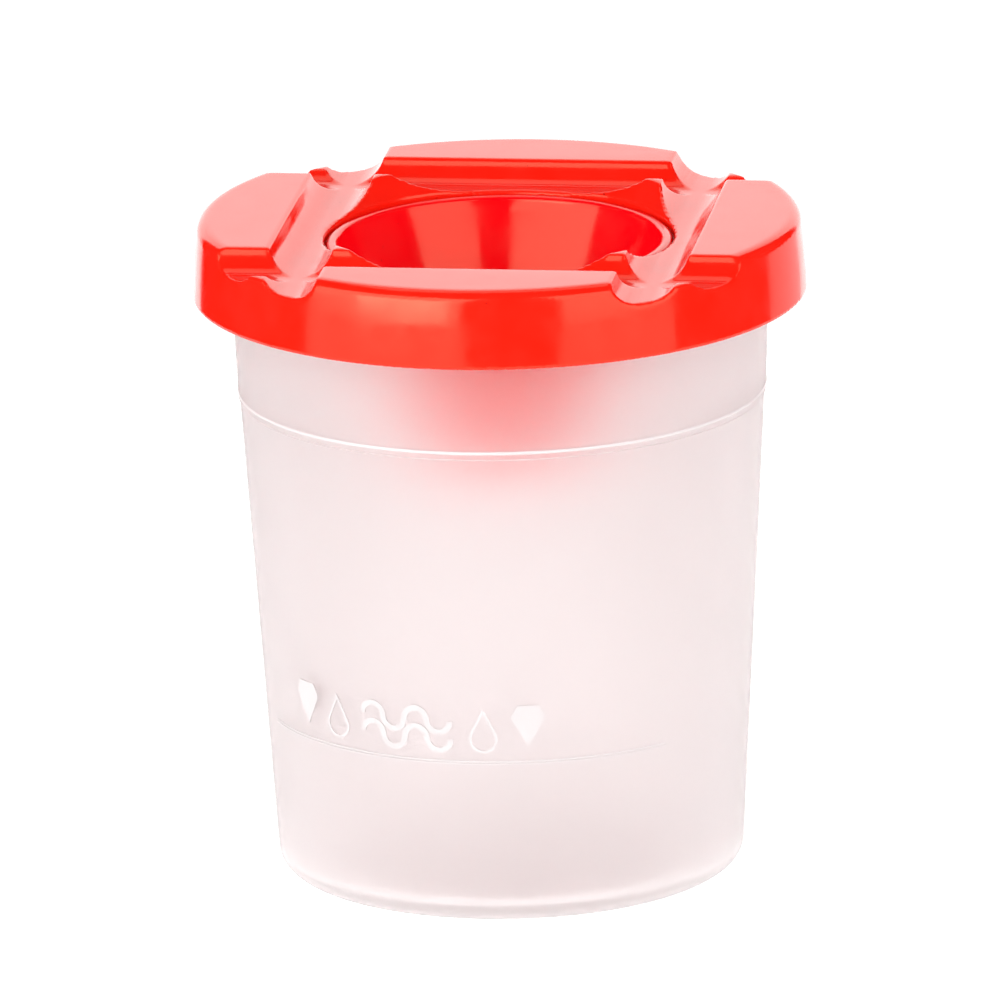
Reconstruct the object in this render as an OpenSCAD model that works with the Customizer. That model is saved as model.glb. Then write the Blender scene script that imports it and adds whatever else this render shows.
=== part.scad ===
// Brush washer with lid: a round translucent cup, a push-on lid with four
// brush grooves crossing round its opening, and a drop-in non-spill cone.
// Millimetres, +Z up. The origin is the centre of the foot, on the table.
// The grooves of the lid run along X and Y.

$fn = 96;

/* [Cup] */
// Outer radius of the wall, carried down to the table
base_r = 34.1; // [28:0.05:38]
// Outer radius of the wall at the foot of the step
step_r = 38.5; // [36:0.05:41]
// Height of the step round the wall
step_z = 71.5; // [62:0.5:78]
// Height over which the step widens
step_h = 1; // [0.5:0.1:2]
// How far the wall above the step stands proud
step_proud = 0.25; // [0.1:0.05:0.6]
// Outer radius of the wall just under the rim
neck_r = 39.4; // [39:0.05:41]
// Height of the cup, up to the top of its rim
cup_h = 93.4; // [88:0.1:98]
// Rounding between the foot and the wall
foot_round = 3.25; // [2.5:0.25:6]
// Wall thickness of the cup
cup_wall = 1.2; // [0.8:0.1:2]
// Thickness of the cup's floor
cup_floor = 1.5; // [1:0.1:3]
// Width of the ring that the cup stands on
foot_ring_w = 2.6; // [1.5:0.1:5]
// Height of the hollow inside that ring
foot_hollow = 0.8; // [0.3:0.1:2]
// How far the rim reaches out from the neck
rim_reach = 3.1; // [2:0.1:3.8]
// Thickness of the rim
rim_t = 1.4; // [1:0.1:2]

/* [Fill marks] */
// Height of the fill line
line_z = 24.7; // [15:0.1:35]
// Height of the fill line's rib
line_h = 0.6; // [0.3:0.1:1.2]
// How far the fill line and its marks stand proud of the wall
mark_proud = 0.15; // [0.1:0.05:0.5]
// Direction of the middle of the fill line, from +X towards +Y
line_turn = -98; // [-180:1:180]
// Angle that the fill line covers
line_span = 112; // [60:1:160]
// Height from the fill line to the middle of the marks
mark_rise = 4.6; // [4:0.1:8]
// Direction of the middle of the marks
mark_turn = -107; // [-180:1:180]
// Angle between the two end marks
mark_span = 59; // [55:1:90]
// Angle between the two drops
drop_span = 38; // [34:1:44]
// Height of each drop
drop_h = 6.9; // [5:0.1:7.5]
// Width of each drop
drop_w = 4.4; // [3:0.1:5]
// Width of the drops' outline
drop_line = 0.6; // [0.3:0.1:1]
// Height of each arrowhead
arrow_h = 6.4; // [4:0.1:7]
// Width of each arrowhead
arrow_w = 4.8; // [3:0.1:6]
// How much higher the arrowheads sit than the drops
arrow_rise = 0.7; // [0:0.1:1.5]
// Radius of the half rings that make a ripple
ripple_r = 1.75; // [1.2:0.05:1.9]
// Width of a ripple's line
ripple_line = 0.9; // [0.4:0.1:1.2]
// Height between the two ripples
ripple_gap = 2.8; // [2:0.1:3.5]

/* [Lid] */
// Gap between the rim and the inside of the skirt
skirt_gap = 1.1; // [0.9:0.1:2]
// How much narrower the skirt is at the top
skirt_draft = 0.7; // [0:0.1:1.5]
// Height of the lid, from the skirt's edge to the top pads
lid_h = 11.55; // [10:0.05:15]
// Wall thickness of the lid
lid_wall = 1.4; // [1:0.1:2]
// Rounding of the lid's outer top edge
lid_round = 1.8; // [1:0.1:2.5]
// Gap between the rim and the snap bead that it passes
bead_gap = 0.6; // [0.3:0.05:0.8]

/* [Brush grooves] */
// Distance of each groove's inner edge from the lid's axis
groove_in = 21.4; // [20:0.1:23]
// Width of each groove at the top
groove_w = 9.5; // [9.1:0.1:11]
// Depth of each groove
groove_d = 3.4; // [3.4:0.1:4.5]
// Rounding of the groove's bottom corners
groove_round = 4; // [3:0.1:4.2]
// Lean of the groove's walls
groove_draft = 20; // [18:1:24]
// Bevel of the groove's upper edges
groove_edge = 0.5; // [0.3:0.1:0.6]
// Height of the four outer nubs above the grooves' floor
nub_h = 1.9; // [1:0.1:2.4]

/* [Opening and non-spill cone] */
// Radius of the opening in the middle of the lid
opening_r = 25.7; // [25:0.1:27]
// Lean of the four inner peaks' faces away from the opening
peak_lean = 42; // [30:1:44]
// Height above the grooves' floor where that lean starts
peak_foot = 0.2; // [0.1:0.05:0.5]
// Depth of the cone's lip below the grooves' floor
lip_sunk = 0.4; // [0.2:0.1:1.2]
// Thickness of the cone's lip
lip_t = 1.4; // [1:0.1:2]
// Width of the cone's lip
lip_w = 1.45; // [1.2:0.05:2]
// Height of the cone
cone_h = 32; // [25:0.5:36]
// Wall thickness of the cone, measured level
cone_wall = 1.1; // [0.8:0.1:1.8]
// Radius of the hole at the cone's lower end
outlet_r = 9.8; // [6:0.1:14]

/* [Clearances] */
// Gap between the cup's rim and the lid, and the lid and the cone's lip
seat_gap = 0.2; // [0.1:0.05:0.5]
// Gap all round a piece that lifts out of another
slip_gap = 0.3; // [0.15:0.05:0.6]

/* [Hidden] */

// Overshoot of a cutting shape past the face that it cuts
over = 1;

// Cup
wall_lean = atan((step_r - base_r) / step_z);
rim_r = neck_r + rim_reach;
floor_z = foot_hollow + cup_floor;
foot_ring_r = round_centre(base_r, foot_round);

// Lid, seated on the rim
seat_z = cup_h + seat_gap;
groove_z = seat_z + lid_wall;
top_z = groove_z + groove_d;
skirt_z = top_z - lid_h;
skirt_r = rim_r + skirt_gap + lid_wall;
top_r = skirt_r - skirt_draft;
bead_in = skirt_gap - bead_gap;
skirt_in_r = skirt_r - lid_wall;
bead_z = (skirt_z + cup_h - rim_t) / 2;
groove_c = groove_in + groove_w / 2;
groove_tan = groove_round * (1 - sin(groove_draft));
groove_flat = groove_w / 2 - groove_round * cos(groove_draft)
    - (groove_d - groove_tan) * tan(groove_draft);

// Cone, hung by its lip in the opening
lip_top_z = groove_z - lip_sunk;
lip_z = lip_top_z - lip_t;
lip_r = opening_r - slip_gap;
mouth_r = lip_r - lip_w;
cone_z = lip_top_z - cone_h;
cone_slope = (mouth_r - outlet_r) / cone_h;
ledge_z = lip_z - seat_gap;
ledge_r = mouth_r - cone_slope * lip_t + cone_wall + slip_gap;
collar_r = opening_r + lid_wall;

// Radius at which a rounding between the table and the leaning wall starts
function round_centre(r, round_r) =
    r - round_r * (1 - sin(wall_lean)) / cos(wall_lean);

// Outer radius of the wall below the step
function wall_r(z) = base_r + z * tan(wall_lean);

// Solid of the cup's wall up to height h, drawn in by inset, standing at z
module cup_profile(inset, z, h) {
    r = wall_r(z) - inset;
    round_r = foot_round - inset;
    c = round_centre(r, round_r);
    polygon([
        [0, z],
        [c, z],
        [c + round_r * cos(wall_lean), z + round_r * (1 - sin(wall_lean))],
        [step_r - inset, step_z],
        [step_r + step_proud - inset, step_z + step_h],
        [neck_r - inset, h],
        [0, h]
    ]);
    intersection() {
        translate([c, z + round_r]) circle(round_r);
        translate([0, z]) square([r + round_r, 2 * round_r]);
    }
}

// Rim flange with a rounded edge and a sloped root under it
module rim_profile() {
    edge = rim_t / 2;
    z = cup_h - rim_t;
    translate([neck_r - cup_wall, z]) square([rim_reach + cup_wall - edge, rim_t]);
    translate([rim_r - edge, cup_h - edge]) circle(edge);
    polygon([
        [neck_r - cup_wall, z + edge],
        [neck_r - cup_wall, z - rim_t],
        [neck_r - 0.05, z - rim_t],
        [neck_r + rim_t, z],
        [neck_r + rim_t, z + edge]
    ]);
}

// Everything between the wall and a skin that lies proud of it
module mark_skin() {
    top = line_z + line_h + 2 * mark_rise + arrow_rise;
    rotate_extrude() polygon([
        [wall_r(line_z) - cup_wall / 2, line_z],
        [wall_r(line_z) + mark_proud, line_z],
        [wall_r(top) + mark_proud, top],
        [wall_r(top) - cup_wall / 2, top]
    ]);
}

// Thin rib round part of the wall
module fill_line() {
    r = wall_r(line_z);
    rotate([0, 0, line_turn - line_span / 2])
        rotate_extrude(angle = line_span)
            translate([r - cup_wall / 2, line_z])
                square([cup_wall / 2 + mark_proud, line_h]);
}

// Solid arrowhead that points down, centred on the origin
module arrow_mark() {
    half = arrow_w / 2;
    shoulder = arrow_h * 0.12;
    polygon([
        [0, -arrow_h / 2],
        [half, shoulder],
        [half * 0.6, arrow_h / 2],
        [-half * 0.6, arrow_h / 2],
        [-half, shoulder]
    ]);
}

// Water drop with its point up: a circle and the two tangents to its point
module drop(r, h) {
    lean = asin(r / (h - r));
    translate([0, r]) circle(r);
    polygon([
        [0, h],
        [-r * cos(lean), r + r * sin(lean)],
        [0, r],
        [r * cos(lean), r + r * sin(lean)]
    ]);
}

// Outline of a water drop, centred on the origin
module drop_mark() {
    inner_r = drop_w / 2 - drop_line;
    translate([0, -drop_h / 2]) difference() {
        drop(drop_w / 2, drop_h);
        translate([0, drop_line]) drop(inner_r, drop_h - 3 * drop_line);
    }
}

// Half of a ring, its open side down, or up where side is -1
module half_ring(side) {
    reach = ripple_r + ripple_line;
    intersection() {
        difference() {
            circle(ripple_r + ripple_line / 2);
            circle(ripple_r - ripple_line / 2);
        }
        translate([-reach, side > 0 ? 0 : -reach]) square([2 * reach, reach]);
    }
}

// Two ripples of water, each a row of half rings turned up and down by turns
module ripple_mark() {
    for (row = [-0.5, 0.5], i = [0:3])
        translate([(2 * i - 3) * ripple_r, row * ripple_gap])
            half_ring(i % 2 == 0 ? 1 : -1);
}

// Raises a flat mark off the wall, centred in the direction turn at height z
module on_wall(turn, z) {
    reach = 2 * neck_r;
    intersection() {
        mark_skin();
        translate([0, 0, z]) rotate([90, 0, turn + 90])
            linear_extrude(reach) children();
    }
}

// Fill marks over the line: arrow, drop, ripples, drop, arrow
module fill_marks() {
    z = line_z + line_h + mark_rise;
    for (side = [-1, 1]) {
        on_wall(mark_turn + side * mark_span / 2, z + arrow_rise) arrow_mark();
        on_wall(mark_turn + side * drop_span / 2, z) drop_mark();
    }
    on_wall(mark_turn, z) ripple_mark();
}

module cup() {
    color([0.96, 0.93, 0.94, 0.6]) {
        difference() {
            rotate_extrude() union() {
                cup_profile(0, 0, cup_h);
                rim_profile();
            }
            translate([0, 0, -over]) cylinder(
                h = foot_hollow + over,
                r = foot_ring_r - foot_ring_w
            );
            rotate_extrude() cup_profile(cup_wall, floor_z, cup_h + over);
        }
        fill_line();
        fill_marks();
    }
}

// Outside of the lid, from its axis
module lid_profile() {
    polygon([
        [0, skirt_z],
        [skirt_r, skirt_z],
        [top_r, top_z - lid_round],
        [top_r - lid_round, top_z],
        [0, top_z]
    ]);
    translate([top_r - lid_round, top_z - lid_round]) circle(lid_round);
}

// Inside of the lid with the snap bead on its skirt
module hollow_profile() {
    in_round = lid_round - lid_wall / 2;
    in_top = top_z - lid_wall;
    in_top_r = top_r - lid_wall;
    difference() {
        union() {
            polygon([
                [0, skirt_z - over],
                [skirt_in_r, skirt_z - over],
                [skirt_in_r, skirt_z],
                [in_top_r, in_top - in_round],
                [in_top_r - in_round, in_top],
                [0, in_top]
            ]);
            translate([in_top_r - in_round, in_top - in_round]) circle(in_round);
        }
        translate([skirt_in_r + bead_in, bead_z]) circle(2 * bead_in);
    }
}

// Cross-section of a groove, its floor at height 0. A skin grows it all round,
// and a bevel widens it at the lid's top.
module groove_profile(skin, bevel) {
    r = groove_round + skin;
    tangent_x = groove_flat + r * cos(groove_draft);
    tangent_y = groove_round - r * sin(groove_draft);
    bevel_y = groove_d - bevel;
    bevel_x = tangent_x + (bevel_y - tangent_y) * tan(groove_draft);
    for (side = [-1, 1]) translate([side * groove_flat, groove_round])
        intersection() {
            circle(r);
            translate([-r, -r]) square([2 * r, r + bevel_y - groove_round]);
        }
    polygon([
        [-groove_flat, -skin],
        [groove_flat, -skin],
        [tangent_x, tangent_y],
        [bevel_x, bevel_y],
        [bevel_x + bevel, groove_d],
        [bevel_x + bevel, groove_d + over],
        [-bevel_x - bevel, groove_d + over],
        [-bevel_x - bevel, groove_d],
        [-bevel_x, bevel_y],
        [-tangent_x, tangent_y]
    ]);
}

// Puts a groove's cross-section in the four places, two along each axis
module four_grooves() {
    long = 2 * (skirt_r + over);
    for (turn = [0, 90, 180, 270])
        rotate([0, 0, turn]) translate([groove_c, 0, groove_z])
            rotate([90, 0, 0]) linear_extrude(long, center = true) children();
}

// Everything above the outer nubs, in the corners outside the grooves
module nub_tops() {
    for (turn = [0, 90, 180, 270])
        rotate([0, 0, turn])
            translate([groove_c, groove_c, groove_z + nub_h]) cube(skirt_r);
}

// Widening of the opening that leaves the four inner peaks. A skin keeps the
// hollow of the lid away from it.
module peak_faces(skin) {
    rise = groove_d - peak_foot + over;
    r = opening_r + skin / cos(peak_lean);
    translate([0, 0, groove_z + peak_foot])
        cylinder(h = rise, r1 = r, r2 = r + rise * tan(peak_lean));
}

module lid() {
    color([0.93, 0.04, 0.03]) difference() {
        rotate_extrude() lid_profile();
        four_grooves() groove_profile(0, groove_edge);
        nub_tops();
        peak_faces(0);
        translate([0, 0, ledge_z]) cylinder(h = lid_h, r = opening_r);
        translate([0, 0, skirt_z - over]) cylinder(h = lid_h, r = ledge_r);
        difference() {
            rotate_extrude() hollow_profile();
            four_grooves() groove_profile(lid_wall, 0);
            translate([0, 0, ledge_z - lid_wall])
                cylinder(h = lid_h, r = collar_r);
            peak_faces(lid_wall);
        }
    }
}

// Half section of the cone: a leaning wall with a rounded lip
module cone_profile() {
    edge = lip_t / 2;
    wall_top = mouth_r - cone_slope * edge;
    polygon([
        [outlet_r, cone_z],
        [outlet_r + cone_wall, cone_z],
        [mouth_r - cone_slope * lip_t + cone_wall, lip_z],
        [lip_r - edge, lip_z],
        [lip_r - edge, lip_top_z],
        [mouth_r + edge, lip_top_z],
        [wall_top, lip_top_z - edge]
    ]);
    translate([lip_r - edge, lip_z + edge]) circle(edge);
}

module cone() {
    color([0.95, 0.02, 0.05]) rotate_extrude() cone_profile();
}

cup();
lid();
cone();
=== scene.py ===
# Brush washer with lid: a milky cup, a glossy red lid crossed by four brush
# grooves, and a red non-spill cone. Metres, in the same frame as the CAD part.
import math

import bmesh
import bpy
from mathutils import Matrix, Vector


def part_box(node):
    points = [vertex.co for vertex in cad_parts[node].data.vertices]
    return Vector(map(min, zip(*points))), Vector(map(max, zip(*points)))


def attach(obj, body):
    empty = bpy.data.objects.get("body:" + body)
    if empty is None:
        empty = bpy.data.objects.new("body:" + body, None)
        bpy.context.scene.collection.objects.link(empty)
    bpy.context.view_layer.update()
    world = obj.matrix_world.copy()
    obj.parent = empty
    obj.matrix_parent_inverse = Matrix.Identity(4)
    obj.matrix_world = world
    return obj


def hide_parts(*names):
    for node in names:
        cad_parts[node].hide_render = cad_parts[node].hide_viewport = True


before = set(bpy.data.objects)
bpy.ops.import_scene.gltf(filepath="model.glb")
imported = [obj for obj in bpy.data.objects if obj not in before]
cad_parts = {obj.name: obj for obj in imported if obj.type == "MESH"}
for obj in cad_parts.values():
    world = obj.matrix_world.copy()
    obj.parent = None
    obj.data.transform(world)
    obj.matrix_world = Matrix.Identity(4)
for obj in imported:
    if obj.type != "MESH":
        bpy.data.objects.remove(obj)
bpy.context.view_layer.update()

MM = 0.001

# Camera, as fitted to the photograph's square frame. The sensor is in millimetres.
IMAGE_SIDE = 1000
SENSOR_WIDTH = 36.0
CAMERA_DISTANCE = 3.0
CAMERA_AZIMUTH = 8.14
CAMERA_ELEVATION = 15.75
CAMERA_ROLL = -1.2
PIXELS_PER_METRE = 6800
TARGET_HEIGHT = 50 * MM
TARGET_PIXEL_X = 505.3
TARGET_PIXEL_Y = 531.2
CLIP_NEAR = 0.1
CLIP_FAR = 50

# Stage: the floor's size and glow, the room's soft light, and its brightness when seen
FLOOR_R = 0.28
FLOOR_SIDES = 96
FLOOR_GREY = (0.4, 0.4, 0.4)
FLOOR_GLOW = 0.95
ROOM_LIGHT = 0.58
ROOM_SEEN = 1.1

# Cup: wall, step under the lid, foot and rim
BASE_R = 34.1 * MM
STEP_R = 38.5 * MM
STEP_Z = 71.5 * MM
STEP_H = 1 * MM
STEP_PROUD = 0.25 * MM
STEP_NOTCH = 0.22 * MM
STEP_BEAD = 0.12 * MM
STEP_BEAD_H = 0.42 * MM
STEP_BEAD_SHOULDER = 0.8
NECK_R = 39.4 * MM
CUP_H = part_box("cup")[1].z
FOOT_ROUND = 3.25 * MM
CUP_WALL = 1.2 * MM
CUP_FLOOR = 1.5 * MM
FOOT_RING_W = 2.6 * MM
FOOT_HOLLOW = 0.8 * MM
RIM_R = NECK_R + 3.1 * MM
RIM_T = 1.4 * MM
WALL_LEAN = math.atan2(STEP_R - BASE_R, STEP_Z)

# Fill line, marks and drops: sizes, and turns and spans round the cup in degrees from +X
LINE_Z = 24.7 * MM
LINE_H = 0.6 * MM
LINE_EDGE = 0.19 * MM
LINE_PROUD = 0.12 * MM
LINE_TURN = -98
LINE_SPAN = 112
MARK_PROUD = 0.08 * MM
MARK_SUNK = 0.2 * MM
MARK_TURN = -107
MARK_SPAN = 59
MARK_Z = LINE_Z + LINE_H + 4.6 * MM
DROP_SPAN = 38
DROP_H = 6.9 * MM
DROP_R = 2.2 * MM
DROP_LINE = 0.5 * MM

# Arrowheads: the shoulder's height over the middle and the taper above it are shares
ARROW_H = 6.4 * MM
ARROW_W = 5.3 * MM
ARROW_SHOULDER = 0.21
ARROW_TAPER = 0.4
ARROW_TIP = 0.05 * MM
ARROW_RISE = 0.7 * MM

# Ripples: rows of half rings side by side
RIPPLE_ROWS = 2
RIPPLE_ARCS = 4
RIPPLE_R = 1.75 * MM
RIPPLE_LINE = 0.9 * MM
RIPPLE_GAP = 2.8 * MM

# Lid: skirt, snap bead, grooves, and the four low nubs outside the grooves' crossings.
# The snap bead's arc runs BEAD_SWEEP degrees to each side of level.
SKIRT_R = 45 * MM
SKIRT_DRAFT = 0.7 * MM
SKIRT_FULL = 0.12 * MM
LID_WALL = 1.4 * MM
LID_ROUND = 1.8 * MM
BEAD_IN = 0.5 * MM
BEAD_SWEEP = 60
SKIRT_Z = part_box("lid")[0].z
TOP_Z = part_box("lid")[1].z
GROOVE_IN = 21.4 * MM
GROOVE_W = 9.5 * MM
GROOVE_D = 3.4 * MM
GROOVE_ROUND = 4 * MM
GROOVE_DRAFT = math.radians(20)
GROOVE_LENGTH = 2.2 * SKIRT_R
NUB_H = 1.6 * MM
GROOVE_C = GROOVE_IN + GROOVE_W / 2
GROOVE_Z = TOP_Z - GROOVE_D
TOP_R = SKIRT_R - SKIRT_DRAFT

# Opening, its widening at the top, which leaves the inner peaks, and the cone in it
OPENING_R = 25.7 * MM
PEAK_LEAN = math.radians(42)
PEAK_FOOT = 0.2 * MM
LIP_T = 1.4 * MM
LIP_W = 1.45 * MM
CONE_WALL = 1.1 * MM
OUTLET_R = 9.8 * MM
SEAT_GAP = 0.2 * MM
SLIP_GAP = 0.3 * MM
LIP_TOP_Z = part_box("cone")[1].z
CONE_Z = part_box("cone")[0].z
LIP_R = OPENING_R - SLIP_GAP
MOUTH_R = LIP_R - LIP_W
CONE_SLOPE = (MOUTH_R - OUTLET_R) / (LIP_TOP_Z - CONE_Z)
LEDGE_Z = LIP_TOP_Z - LIP_T - SEAT_GAP
LEDGE_R = MOUTH_R - CONE_SLOPE * LIP_T + CONE_WALL + SLIP_GAP

# Mesh fineness: steps round the axis, on roundings, along walls and over the marks
TURN_STEPS = 256
SKIRT_STEPS = 16
PAD_EDGE_STEPS = 12
HOLLOW_STEPS = 8
GROOVE_STEPS = 10
CONE_STEPS = 24
LIP_STEPS = 10
CROWN_STEPS = 8
FOOT_STEPS = 14
WALL_STEPS = 60
NECK_STEPS = 16
RIM_STEPS = 10
DROP_STEPS = 28
DROP_SIDE_STEPS = 5
ARROW_STEPS = 12
ARROW_COLUMNS = 8
RIPPLE_STEPS = 14
LINE_PARTS = 12
LINE_STEPS = 8

# How near points merge, and how far a cutter passes the face that it cuts
MERGE_DISTANCE = 0.0005 * MM
OVER = 2 * MM

# Even mesh of the lid: grid, softening, and the share of its faces that stays
LID_VOXEL = 0.32 * MM
LID_SMOOTHING = 2
LID_SMOOTH_FACTOR = 0.5
LID_KEEP = 0.42

# Edges sharper than these angles, in degrees, stay crisp
LID_CREASE = 180
CONE_CREASE = 50
CUP_CREASE = 35
MARK_CREASE = 40
LINE_CREASE = 50

# Colours; the haze in the milky plastic has its colour times MILKY_CLOUD
LID_RED = (0.93, 0.0115, 0.004)
LID_SPECKS = (0.5, 0.004, 0.002)
CONE_RED = (0.95, 0.0006, 0.006)
CONE_SPECKS = (0.6, 0.01, 0.01)
GLOSS_TINT = (1, 1, 0.62, 1)
# The cup's milky white carries a pink tint that is painted red glow from the lid and cone inside it.
MILKY_WITH_PAINTED_GLOW = (0.953, 0.902, 0.901)
# Lighter milky, pink-tinted like the wall with painted red glow. It serves the raised marks' own
# lighter tone, and is painted highlight on the step bead and fill-line ribs.
MILKY_MARKS_AND_PAINTED_HIGHLIGHT = (0.97, 0.935, 0.935)
MILKY_CLOUD = 0.985
WHITE = (1, 1, 1, 1)


# Sections and meshes
def arc(centre, radius, start, end, steps):
    """Points along an arc in a flat section, angles in degrees from +X."""
    turns = [math.radians(start + (end - start) * i / steps) for i in range(steps + 1)]
    return [(centre[0] + radius * math.cos(a), centre[1] + radius * math.sin(a)) for a in turns]


def between(start, end, steps):
    """Points from start to end, both left out."""
    shares = [i / steps for i in range(1, steps)]
    return [
        (start[0] + (end[0] - start[0]) * s, start[1] + (end[1] - start[1]) * s)
        for s in shares
    ]


def cylinder_section(radius, low, high):
    """Half section of a plain cylinder."""
    return [(0, low), (radius, low), (radius, high), (0, high)]


def linked(name, data):
    """A new object in the scene."""
    obj = bpy.data.objects.new(name, data)
    bpy.context.scene.collection.objects.link(obj)
    return obj


def piece_from(bm, name):
    """Makes an object of a finished bmesh."""
    mesh = bpy.data.meshes.new(name)
    bm.to_mesh(mesh)
    bm.free()
    return linked(name, mesh)


def spin_section(bm, section, closed):
    """Spins a half section about the Z axis into a bmesh."""
    verts = [bm.verts.new((x, 0, z)) for x, z in section]
    edges = [bm.edges.new(pair) for pair in zip(verts, verts[1:])]
    if closed:
        edges.append(bm.edges.new((verts[-1], verts[0])))
    bmesh.ops.spin(
        bm,
        geom=verts + edges,
        axis=(0, 0, 1),
        cent=(0, 0, 0),
        angle=math.tau,
        steps=TURN_STEPS,
        use_merge=True,
    )


def weld(bm):
    """Merges points that meet and turns the faces outwards."""
    bmesh.ops.remove_doubles(bm, verts=bm.verts, dist=MERGE_DISTANCE)
    bmesh.ops.recalc_face_normals(bm, faces=bm.faces)


def turned(section, name, closed=False):
    """Object spun about Z from a half section, closed or with both its ends on the axis."""
    bm = bmesh.new()
    spin_section(bm, section, closed)
    weld(bm)
    return piece_from(bm, name)


def extruded(outline, length, place, name):
    """Object of a flat outline, given in X and Z, drawn along Y about the origin, then placed."""
    bm = bmesh.new()
    verts = [bm.verts.new((x, -length / 2, z)) for x, z in outline]
    face = bm.faces.new(verts)
    far = bmesh.ops.extrude_face_region(bm, geom=[face])["geom"]
    far_verts = [v for v in far if isinstance(v, bmesh.types.BMVert)]
    bmesh.ops.translate(bm, verts=far_verts, vec=(0, length, 0))
    bmesh.ops.recalc_face_normals(bm, faces=bm.faces)
    bmesh.ops.transform(bm, matrix=place, verts=bm.verts)
    return piece_from(bm, name)


def apply_modifiers(obj):
    """Bakes an object's modifiers into its own mesh."""
    depsgraph = bpy.context.evaluated_depsgraph_get()
    made = bpy.data.meshes.new_from_object(obj.evaluated_get(depsgraph))
    obj.modifiers.clear()
    old = obj.data
    obj.data = made
    bpy.data.meshes.remove(old)


def cut_away(obj, tools):
    """Cuts each tool out of obj, which uses the tools up."""
    for tool in tools:
        cut = obj.modifiers.new("cut", "BOOLEAN")
        cut.operation = "DIFFERENCE"
        cut.solver = "EXACT"
        cut.object = tool
        apply_modifiers(obj)
        bpy.data.objects.remove(tool)


def smooth_shaded(obj, crease):
    """Smooth shading, with edges sharper than the crease angle kept crisp."""
    obj.data.shade_smooth()
    obj.data.set_sharp_from_angle(angle=math.radians(crease))


# Lid
def lid_outside():
    """Half section of the lid's outside, its skirt a little full in the middle."""
    centre = (TOP_R - LID_ROUND, TOP_Z - LID_ROUND)
    foot = (SKIRT_R, SKIRT_Z)
    skirt = []
    for i, (x, z) in enumerate(between(foot, (TOP_R, centre[1]), SKIRT_STEPS), start=1):
        share = i / SKIRT_STEPS
        skirt.append((x + 4 * SKIRT_FULL * share * (1 - share), z))
    pad_edge = arc(centre, LID_ROUND, 0, 90, PAD_EDGE_STEPS)
    return [(0, SKIRT_Z), foot] + skirt + pad_edge + [(0, TOP_Z)]


def lid_hollow():
    """Half section of the space under the lid, narrowed by the skirt's snap bead."""
    rounding = LID_ROUND - LID_WALL / 2
    top = TOP_Z - LID_WALL
    skirt_in = SKIRT_R - LID_WALL
    bead_centre = (skirt_in + BEAD_IN, (SKIRT_Z + CUP_H - RIM_T) / 2)
    bead = arc(bead_centre, 2 * BEAD_IN, BEAD_SWEEP - 180, -BEAD_SWEEP - 180, HOLLOW_STEPS)
    centre = (TOP_R - LID_WALL - rounding, top - rounding)
    return (
        [(0, SKIRT_Z - OVER), (skirt_in, SKIRT_Z - OVER)]
        + bead
        + arc(centre, rounding, 0, 90, HOLLOW_STEPS)
        + [(0, top)]
    )


def groove_outline(skin):
    """Cross-section of a groove, grown by skin, with its middle at X 0."""
    rest = GROOVE_D - GROOVE_ROUND * (1 - math.sin(GROOVE_DRAFT))
    flat = GROOVE_W / 2 - GROOVE_ROUND * math.cos(GROOVE_DRAFT) - rest * math.tan(GROOVE_DRAFT)
    centre = (flat, GROOVE_Z + GROOVE_ROUND)
    right = arc(centre, GROOVE_ROUND + skin, -90, -math.degrees(GROOVE_DRAFT), GROOVE_STEPS)
    rise = TOP_Z + OVER - right[-1][1]
    right.append((right[-1][0] + rise * math.tan(GROOVE_DRAFT), TOP_Z + OVER))
    return right + [(-x, z) for x, z in reversed(right)]


def groove_cutters(skin):
    """The four grooves, two along each axis."""
    made = []
    for turn in range(4):
        place = Matrix.Rotation(turn * math.pi / 2, 4, "Z") @ Matrix.Translation((GROOVE_C, 0, 0))
        made.append(extruded(groove_outline(skin), GROOVE_LENGTH, place, f"groove_{turn}"))
    return made


def nub_tops():
    """Blocks that take off everything above the four outer nubs."""
    made = []
    aside = GROOVE_C + SKIRT_R / 2
    height = GROOVE_Z + NUB_H + SKIRT_R / 2
    for turn in range(4):
        bm = bmesh.new()
        bmesh.ops.create_cube(bm, size=SKIRT_R)
        bmesh.ops.translate(bm, verts=bm.verts, vec=(aside, aside, height))
        bmesh.ops.rotate(bm, verts=bm.verts, matrix=Matrix.Rotation(turn * math.pi / 2, 3, "Z"))
        made.append(piece_from(bm, f"nub_top_{turn}"))
    return made


def peak_faces(skin, name):
    """Widening of the opening, grown by skin, that leaves the four inner peaks."""
    low = GROOVE_Z + PEAK_FOOT
    high = TOP_Z + OVER
    radius = OPENING_R + skin / math.cos(PEAK_LEAN)
    wide = radius + (high - low) * math.tan(PEAK_LEAN)
    return turned([(0, low), (radius, low), (wide, high), (0, high)], name)


def space_under_lid():
    """The hollow, less the walls under the grooves, round the opening and at the peaks."""
    hollow = turned(lid_hollow(), "hollow")
    collar = cylinder_section(OPENING_R + LID_WALL, LEDGE_Z - LID_WALL, TOP_Z + OVER)
    cut_away(hollow, groove_cutters(LID_WALL))
    cut_away(hollow, [turned(collar, "collar"), peak_faces(LID_WALL, "peak_cores")])
    return hollow


def even_out(obj):
    """Gives a cut moulding an even mesh with soft edges and fewer faces."""
    remesh = obj.modifiers.new("even_mesh", "REMESH")
    remesh.mode = "VOXEL"
    remesh.voxel_size = LID_VOXEL
    apply_modifiers(obj)
    smooth = obj.modifiers.new("soft_edges", "SMOOTH")
    smooth.factor = LID_SMOOTH_FACTOR
    smooth.iterations = LID_SMOOTHING
    apply_modifiers(obj)
    thin = obj.modifiers.new("fewer_faces", "DECIMATE")
    thin.ratio = LID_KEEP
    apply_modifiers(obj)


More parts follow.
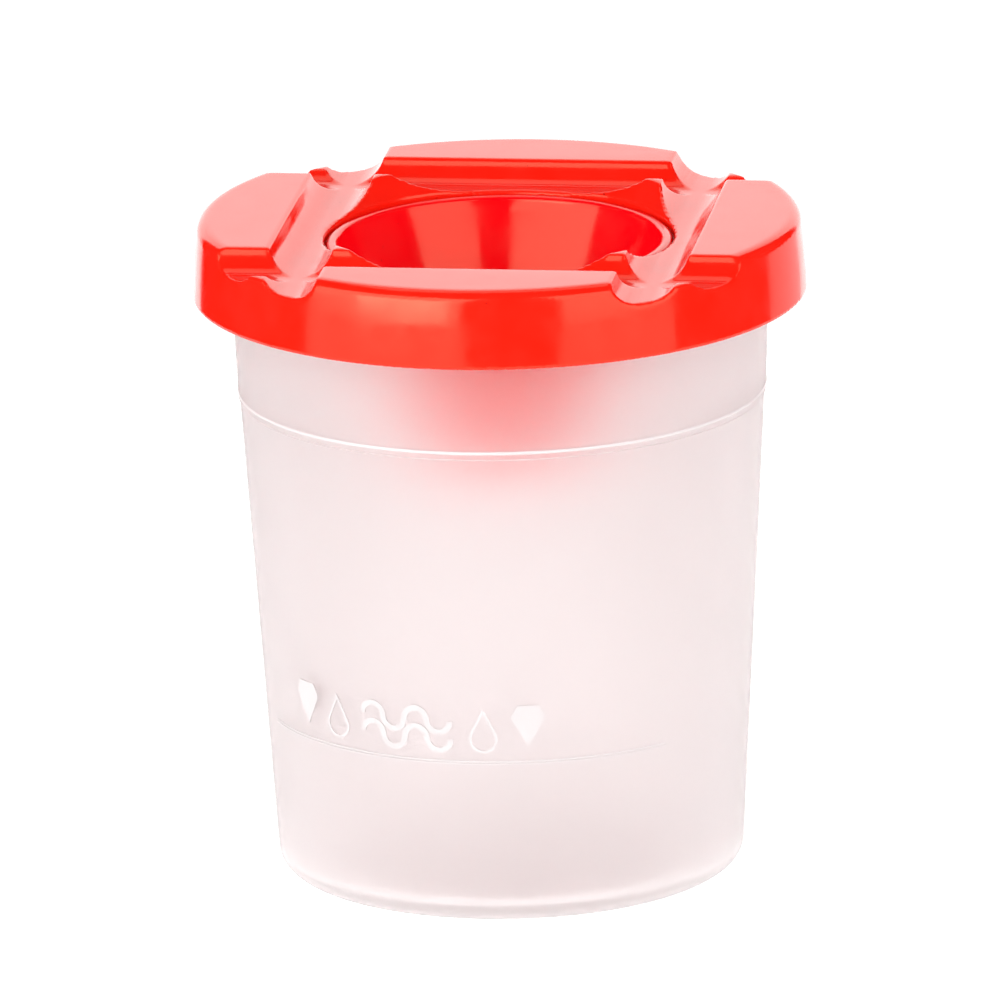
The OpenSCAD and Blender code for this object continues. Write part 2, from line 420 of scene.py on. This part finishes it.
def make_lid():
    """The lid as one moulding, with the ledge that carries the cone."""
    lid = turned(lid_outside(), "lid_shell")
    hollow = space_under_lid()
    well = cylinder_section(OPENING_R, LEDGE_Z, TOP_Z + OVER)
    through = cylinder_section(LEDGE_R, SKIRT_Z - OVER, TOP_Z + OVER)
    cut_away(lid, groove_cutters(0) + nub_tops())
    cut_away(lid, [peak_faces(0, "peak_faces")])
    cut_away(lid, [hollow, turned(well, "well"), turned(through, "through")])
    even_out(lid)
    smooth_shaded(lid, LID_CREASE)
    return lid


# Cone
def make_cone():
    """The funnel: a leaning wall under a rounded lip that sits on the lid's ledge."""
    edge = LIP_T / 2
    lip_z = LIP_TOP_Z - LIP_T
    outer_foot = (OUTLET_R + CONE_WALL, CONE_Z)
    outer_top = (MOUTH_R - CONE_SLOPE * LIP_T + CONE_WALL, lip_z)
    inner_top = (MOUTH_R - CONE_SLOPE * edge, LIP_TOP_Z - edge)
    inner_foot = (OUTLET_R, CONE_Z)
    section = (
        [outer_foot]
        + between(outer_foot, outer_top, CONE_STEPS)
        + [outer_top]
        + arc((LIP_R - edge, lip_z + edge), edge, -90, 90, LIP_STEPS)
        + arc((inner_top[0] + edge, inner_top[1]), edge, 90, 180, CROWN_STEPS)
        + between(inner_top, inner_foot, CONE_STEPS)
        + [inner_foot]
    )
    cone = turned(section, "non_spill_cone", closed=True)
    smooth_shaded(cone, CONE_CREASE)
    return cone


# Cup
def round_start(radius, rounding):
    """Radius where a rounding between the floor and the leaning wall starts."""
    return radius - rounding * (1 - math.sin(WALL_LEAN)) / math.cos(WALL_LEAN)


def wall_r(z):
    """Outer radius of the wall below the step."""
    return BASE_R + z * math.tan(WALL_LEAN)


def step_section(inset):
    """The step in the wall, drawn in by inset; its outside has a fine notch at the foot."""
    foot = (STEP_R - inset, STEP_Z)
    head = (STEP_R + STEP_PROUD - inset, STEP_Z + STEP_H)
    if inset:
        return [foot, head]
    notch = (STEP_R - STEP_NOTCH, STEP_Z + STEP_NOTCH / 2)
    over_notch = (head[0] - STEP_NOTCH / 4, STEP_Z + STEP_NOTCH)
    return [foot, notch, over_notch, head]


def wall_section(inset, low, high):
    """Wall from the rounding at the floor up to the neck's end, drawn in by inset."""
    rounding = FOOT_ROUND - inset
    centre = (round_start(wall_r(low) - inset, rounding), low + rounding)
    bend = arc(centre, rounding, -90, -math.degrees(WALL_LEAN), FOOT_STEPS)
    step = step_section(inset)
    neck = (NECK_R - inset, high)
    return (
        bend
        + between(bend[-1], step[0], WALL_STEPS)
        + step
        + between(step[-1], neck, NECK_STEPS)
        + [neck]
    )


def make_cup():
    """The cup with its foot ring, step and rounded rim."""
    edge = RIM_T / 2
    rim_z = CUP_H - RIM_T
    outer = wall_section(inset=0, low=0, high=rim_z - RIM_T)
    inner = wall_section(inset=CUP_WALL, low=FOOT_HOLLOW + CUP_FLOOR, high=CUP_H)
    ring_in = outer[0][0] - FOOT_RING_W
    section = (
        [(0, FOOT_HOLLOW), (ring_in, FOOT_HOLLOW), (ring_in, 0)]
        + outer
        + [(NECK_R + RIM_T, rim_z)]
        + arc((RIM_R - edge, rim_z + edge), edge, -90, 90, RIM_STEPS)
        + list(reversed(inner))
        + [(0, inner[0][1])]
    )
    cup = turned(section, "cup_body")
    smooth_shaded(cup, CUP_CREASE)
    return cup


# Fill marks and lines, thin raised forms let into the wall
def wall_point(turn, across, z, proud):
    """Point over the wall, at a level distance across from a direction."""
    radius = wall_r(z)
    angle = math.radians(turn) + math.asin(across / radius)
    out = radius + proud
    return (out * math.cos(angle), out * math.sin(angle), z)


def add_raised(bm, rows, turn, height, proud=MARK_PROUD, ring=False):
    """Adds a closed raised patch; each row has the same number of (across, up) points."""
    skins = []
    for out in (proud, -MARK_SUNK):
        skins.append([
            [bm.verts.new(wall_point(turn, across, height + up, out)) for across, up in row]
            for row in rows
        ])
    front, back = skins
    last_row = len(rows) - 1
    last_column = len(rows[0]) - 1
    faces = []
    for r in range(len(rows) if ring else last_row):
        after = (r + 1) % len(rows)
        for c in range(last_column):
            for skin in skins:
                corners = (skin[r][c], skin[r][c + 1], skin[after][c + 1], skin[after][c])
                faces.append(bm.faces.new(corners))
        for c in (0, last_column):
            corners = (front[r][c], front[after][c], back[after][c], back[r][c])
            faces.append(bm.faces.new(corners))
    if not ring:
        for r in (0, last_row):
            for c in range(last_column):
                corners = (front[r][c], front[r][c + 1], back[r][c + 1], back[r][c])
                faces.append(bm.faces.new(corners))
    bmesh.ops.recalc_face_normals(bm, faces=faces)


def drop_loop(radius, height, low):
    """Outline of a water drop with its point up, standing at low."""
    lean = math.asin(radius / (height - radius))
    start = math.degrees(math.pi - lean)
    bulb = arc((0, low + radius), radius, start, 360 + math.degrees(lean), DROP_STEPS)
    tip = (0, low + height)
    rise = between(bulb[-1], tip, DROP_SIDE_STEPS)
    fall = between(tip, bulb[0], DROP_SIDE_STEPS)
    return bulb + rise + [tip] + fall


def drop_rows():
    """Water drop drawn as a line, from its outer loop to its inner one."""
    outer = drop_loop(DROP_R, DROP_H, -DROP_H / 2)
    inner = drop_loop(DROP_R - DROP_LINE, DROP_H - 3 * DROP_LINE, DROP_LINE - DROP_H / 2)
    return list(zip(outer, inner))


def arrow_rows():
    """Arrowhead that points down: a blunt top, shoulders and a point."""
    rows = []
    shoulder = ARROW_H * ARROW_SHOULDER
    middle = ARROW_COLUMNS // 2
    for i in range(ARROW_STEPS + 1):
        up = -ARROW_H / 2 + ARROW_H * i / ARROW_STEPS
        if up < shoulder:
            half = ARROW_W / 2 * (up + ARROW_H / 2) / (shoulder + ARROW_H / 2)
        else:
            half = ARROW_W / 2 * (1 - ARROW_TAPER * (up - shoulder) / (ARROW_H / 2 - shoulder))
        half = max(half, ARROW_TIP)
        rows.append([(half * (c - middle) / middle, up) for c in range(ARROW_COLUMNS + 1)])
    return rows


def ripple_rows(row):
    """One wavy line: half rings turned up and down by turns, end to end."""
    outer = []
    inner = []
    height = (row - 0.5) * RIPPLE_GAP
    for i in range(RIPPLE_ARCS):
        centre = ((2 * i + 1 - RIPPLE_ARCS) * RIPPLE_R, height)
        crest = i % 2 == 0
        end = 0 if crest else 360
        out_r = RIPPLE_R + (RIPPLE_LINE if crest else -RIPPLE_LINE) / 2
        in_r = 2 * RIPPLE_R - out_r
        shared = 0 if i == 0 else 1
        outer += arc(centre, out_r, 180, end, RIPPLE_STEPS)[shared:]
        inner += arc(centre, in_r, 180, end, RIPPLE_STEPS)[shared:]
    return list(zip(outer, inner))


def line_ribs(bm):
    """Two fine ribs that edge the fill line, each in short parts set end to end."""
    reach = wall_r(LINE_Z) * math.sin(math.radians(LINE_SPAN) / (2 * LINE_PARTS))
    across = [-reach + 2 * reach * i / LINE_STEPS for i in range(LINE_STEPS + 1)]
    for low in (0, LINE_H - LINE_EDGE):
        rows = [[(u, low), (u, low + LINE_EDGE)] for u in across]
        for part in range(LINE_PARTS):
            turn = LINE_TURN - LINE_SPAN / 2 + LINE_SPAN * (part + 0.5) / LINE_PARTS
            add_raised(bm, rows, turn, LINE_Z, LINE_PROUD)


def step_bead(bm):
    """Low rounded bead along the top of the step, all the way round."""
    top = STEP_Z + STEP_H
    wall = STEP_R + STEP_PROUD
    shoulder = wall + STEP_BEAD * STEP_BEAD_SHOULDER
    section = [
        (wall - MARK_SUNK, top - STEP_BEAD_H / 4),
        (wall, top - STEP_BEAD_H / 4),
        (shoulder, top),
        (wall + STEP_BEAD, top + STEP_BEAD_H / 4),
        (shoulder, top + STEP_BEAD_H / 2),
        (wall, top + STEP_BEAD_H),
        (wall - MARK_SUNK, top + STEP_BEAD_H),
    ]
    spin_section(bm, section, closed=True)


def make_marks():
    """Two ripples between two drops and two arrowheads."""
    bm = bmesh.new()
    for side in (-1, 1):
        add_raised(bm, arrow_rows(), MARK_TURN + side * MARK_SPAN / 2, MARK_Z + ARROW_RISE)
        add_raised(bm, drop_rows(), MARK_TURN + side * DROP_SPAN / 2, MARK_Z, ring=True)
    for row in range(RIPPLE_ROWS):
        add_raised(bm, ripple_rows(row), MARK_TURN, MARK_Z)
    marks = piece_from(bm, "fill_marks")
    smooth_shaded(marks, MARK_CREASE)
    return marks


def make_lines():
    """The bead on the step and the ribs of the fill line."""
    bm = bmesh.new()
    step_bead(bm)
    line_ribs(bm)
    weld(bm)
    lines = piece_from(bm, "fill_line")
    smooth_shaded(lines, LINE_CREASE)
    return lines


# Materials
def principled(name, colour, roughness):
    """A new material with its shader's own values set."""
    material = bpy.data.materials.new(name)
    material.use_nodes = True
    shader = material.node_tree.nodes["Principled BSDF"]
    shader.inputs["Base Color"].default_value = (*colour, 1)
    shader.inputs["Roughness"].default_value = roughness
    return material, shader


def noise(tree, scale, detail, stretch=(1, 1, 1)):
    """Noise fixed to the object, its scale in features per metre."""
    place = tree.nodes.new("ShaderNodeTexCoord")
    mapping = tree.nodes.new("ShaderNodeMapping")
    mapping.inputs["Scale"].default_value = stretch
    texture = tree.nodes.new("ShaderNodeTexNoise")
    texture.inputs["Scale"].default_value = scale
    texture.inputs["Detail"].default_value = detail
    tree.links.new(place.outputs["Object"], mapping.inputs["Vector"])
    tree.links.new(mapping.outputs["Vector"], texture.inputs["Vector"])
    return texture.outputs["Fac"]


def spread(tree, value, low, high, out_low=0, out_high=1):
    """Maps a value's range onto another, held at both ends."""
    node = tree.nodes.new("ShaderNodeMapRange")
    node.inputs["From Min"].default_value = low
    node.inputs["From Max"].default_value = high
    node.inputs["To Min"].default_value = out_low
    node.inputs["To Max"].default_value = out_high
    tree.links.new(value, node.inputs["Value"])
    return node.outputs["Result"]


def tint(tree, base, other, share):
    """Mixes two colours by a share that varies over the surface."""
    mix = tree.nodes.new("ShaderNodeMix")
    mix.data_type = "RGBA"
    mix.inputs["A"].default_value = (*base, 1)
    mix.inputs["B"].default_value = (*other, 1)
    tree.links.new(share, mix.inputs["Factor"])
    return mix.outputs["Result"]


def bump(tree, height, distance, onto=None):
    """Relief of a few hundredths of a millimetre at most, over another where given."""
    node = tree.nodes.new("ShaderNodeBump")
    node.inputs["Distance"].default_value = distance
    node.inputs["Strength"].default_value = 1
    tree.links.new(height, node.inputs["Height"])
    if onto:
        tree.links.new(onto, node.inputs["Normal"])
    return node.outputs["Normal"]


def red_plastic(name, colour, speck_colour, waviness):
    """Glossy moulded red: flow waviness, uneven gloss, fine specks."""
    material, shader = principled(name, colour, roughness=0.13)
    tree = material.node_tree
    shader.inputs["IOR"].default_value = 1.49
    shader.inputs["Specular Tint"].default_value = GLOSS_TINT
    specks = spread(tree, noise(tree, scale=1400, detail=2), low=0.75, high=0.79)
    tree.links.new(tint(tree, colour, speck_colour, specks), shader.inputs["Base Color"])
    patches = noise(tree, scale=260, detail=4)
    gloss = spread(tree, patches, low=0.3, high=0.7, out_low=0.09, out_high=0.19)
    tree.links.new(gloss, shader.inputs["Roughness"])
    flow = bump(tree, noise(tree, scale=70, detail=2, stretch=(1, 1, 2.5)), waviness)
    skin = bump(tree, noise(tree, scale=900, detail=3), 0.0035 * MM, onto=flow)
    tree.links.new(skin, shader.inputs["Normal"])
    return material


def milky_plastic(name, colour, roughness, clearness):
    """Milky plastic that light passes through, with faint haze and scuffs."""
    material, shader = principled(name, colour, roughness)
    tree = material.node_tree
    shader.inputs["IOR"].default_value = 1.45
    shader.inputs["Transmission Weight"].default_value = clearness
    cloud = spread(tree, noise(tree, scale=45, detail=3), low=0.3, high=0.7)
    deeper = tuple(c * MILKY_CLOUD for c in colour)
    tree.links.new(tint(tree, colour, deeper, cloud), shader.inputs["Base Color"])
    grain = bump(tree, noise(tree, scale=700, detail=4, stretch=(1, 1, 0.35)), 0.01 * MM)
    tree.links.new(grain, shader.inputs["Normal"])
    return material


# Stage: a pale floor, soft panels round the object, a dim room and the camera
def direction(azimuth, elevation):
    """Unit vector from the object towards a place round it."""
    a = math.radians(azimuth)
    e = math.radians(elevation)
    return Vector((math.sin(a) * math.cos(e), -math.cos(a) * math.cos(e), math.sin(e)))


def add_floor():
    """Pale disc, kept small so that the lid's skirt doesn't mirror it."""
    bm = bmesh.new()
    bmesh.ops.create_circle(bm, cap_ends=True, segments=FLOOR_SIDES, radius=FLOOR_R)
    floor = piece_from(bm, "floor")
    material, shader = principled("floor_white", FLOOR_GREY, roughness=0.9)
    shader.inputs["Specular IOR Level"].default_value = 0
    shader.inputs["Emission Color"].default_value = WHITE
    shader.inputs["Emission Strength"].default_value = FLOOR_GLOW
    floor.data.materials.append(material)


def add_lamp(name, turn, rise, distance, width, height, radiance, mirrored=True, soft=True):
    """Panel that faces the object: its turn is taken from the camera's azimuth, its rise from level.

    A mirrored one shows in gloss, and a soft one lights matt and milky faces.
    """
    lamp = bpy.data.lights.new(name, "AREA")
    lamp.shape = "RECTANGLE"
    lamp.size = width
    lamp.size_y = height
    lamp.energy = radiance * width * height * math.pi
    obj = linked(name, lamp)
    towards = direction(CAMERA_AZIMUTH + turn, rise)
    obj.location = Vector((0, 0, TARGET_HEIGHT)) + towards * distance
    obj.rotation_euler = towards.to_track_quat("Z", "Y").to_euler()
    obj.visible_glossy = mirrored
    obj.visible_diffuse = soft
    obj.visible_transmission = soft


def add_lamps():
    """Two panels in front, each in a high and a low part, a stripe, and five round the back."""
    left = dict(turn=-44.8, distance=1.2, width=1.46)
    right = dict(turn=44, distance=1.2, width=1.02)
    side = dict(rise=12, distance=1.3, width=1.0, height=1.1, radiance=1.5, mirrored=False)
    add_lamp("left_high", rise=18, height=0.95, radiance=2.5, **left)
    add_lamp("left_low", rise=-16, height=0.5, radiance=1.17, **left)
    add_lamp("right_high", rise=18, height=0.95, radiance=2.05, **right)
    add_lamp("right_low", rise=-16, height=0.5, radiance=1.15, **right)
    add_lamp("left_stripe", -37, 6, distance=1.15, width=0.72, height=0.34, radiance=3.4, soft=False)
    add_lamp("back_mirrored", 180, 16, distance=1.5, width=1.75, height=2.0, radiance=1.66, soft=False)
    add_lamp("side_left", turn=-108, **side)
    add_lamp("side_right", turn=108, **side)
    add_lamp("above", 180, 70, distance=1.3, width=0.9, height=0.6, radiance=1.2, soft=False)
    add_lamp("far_right", 135, -12, distance=1.0, width=0.56, height=0.4, radiance=0.9)


def add_world():
    """Dim studio round the object, plain white where the camera looks past it."""
    world = bpy.data.worlds.new("soft_white")
    bpy.context.scene.world = world
    world.use_nodes = True
    world.cycles_visibility.glossy = False
    tree = world.node_tree
    background = tree.nodes["Background"]
    background.inputs["Color"].default_value = WHITE
    path = tree.nodes.new("ShaderNodeLightPath")
    seen = path.outputs["Is Camera Ray"]
    strength = spread(tree, seen, low=0, high=1, out_low=ROOM_LIGHT, out_high=ROOM_SEEN)
    tree.links.new(strength, background.inputs["Strength"])


def add_camera():
    """Long lens at the photograph's viewing angle, moved aside to frame it alike."""
    camera = bpy.data.cameras.new("camera")
    obj = linked("camera", camera)
    bpy.context.scene.camera = obj
    focal_pixels = PIXELS_PER_METRE * CAMERA_DISTANCE
    camera.sensor_width = SENSOR_WIDTH
    camera.lens = focal_pixels * SENSOR_WIDTH / IMAGE_SIDE
    camera.clip_start = CLIP_NEAR
    camera.clip_end = CLIP_FAR
    back = direction(CAMERA_AZIMUTH, CAMERA_ELEVATION)
    level_right = Vector((0, 0, 1)).cross(back).normalized()
    level_up = back.cross(level_right)
    roll = math.radians(CAMERA_ROLL)
    right = level_right * math.cos(roll) + level_up * math.sin(roll)
    up = back.cross(right)
    aside = (TARGET_PIXEL_X - IMAGE_SIDE / 2) / focal_pixels
    above = (IMAGE_SIDE / 2 - TARGET_PIXEL_Y) / focal_pixels
    target = Vector((0, 0, TARGET_HEIGHT))
    place = target - CAMERA_DISTANCE * (right * aside + up * above - back)
    turn = Matrix((right, up, back)).transposed().to_4x4()
    obj.matrix_world = Matrix.Translation(place) @ turn


# Pieces, each with its finish, its body and the CAD node that it stands for, if any
lid = make_lid()
lid.data.materials.append(red_plastic("lid_red", LID_RED, LID_SPECKS, waviness=0.03 * MM))
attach(lid, "lid")
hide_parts("lid")

cone = make_cone()
cone.data.materials.append(red_plastic("cone_red", CONE_RED, CONE_SPECKS, waviness=0.012 * MM))
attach(cone, "cone")
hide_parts("cone")

cup = make_cup()
# The cup's base colour is milky white with painted red glow as its pink tint.
cup.data.materials.append(milky_plastic("milky", MILKY_WITH_PAINTED_GLOW, roughness=0.56, clearness=0.945))
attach(cup, "cup")
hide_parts("cup")

marks = make_marks()
marks.data.materials.append(milky_plastic("milky_marks", MILKY_MARKS_AND_PAINTED_HIGHLIGHT, roughness=0.5, clearness=0.52))
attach(marks, "cup")

lines = make_lines()
# The bead and ribs are lighter and less clear than the wall: painted highlight that makes them show as
# white lines, on top of the real light their raised shapes catch.
lines.data.materials.append(milky_plastic("milky_painted_highlight", MILKY_MARKS_AND_PAINTED_HIGHLIGHT, roughness=0.45, clearness=0.42))
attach(lines, "cup")

add_floor()
add_lamps()
add_world()
add_camera()
bpy.context.scene.view_settings.view_transform = "Standard"
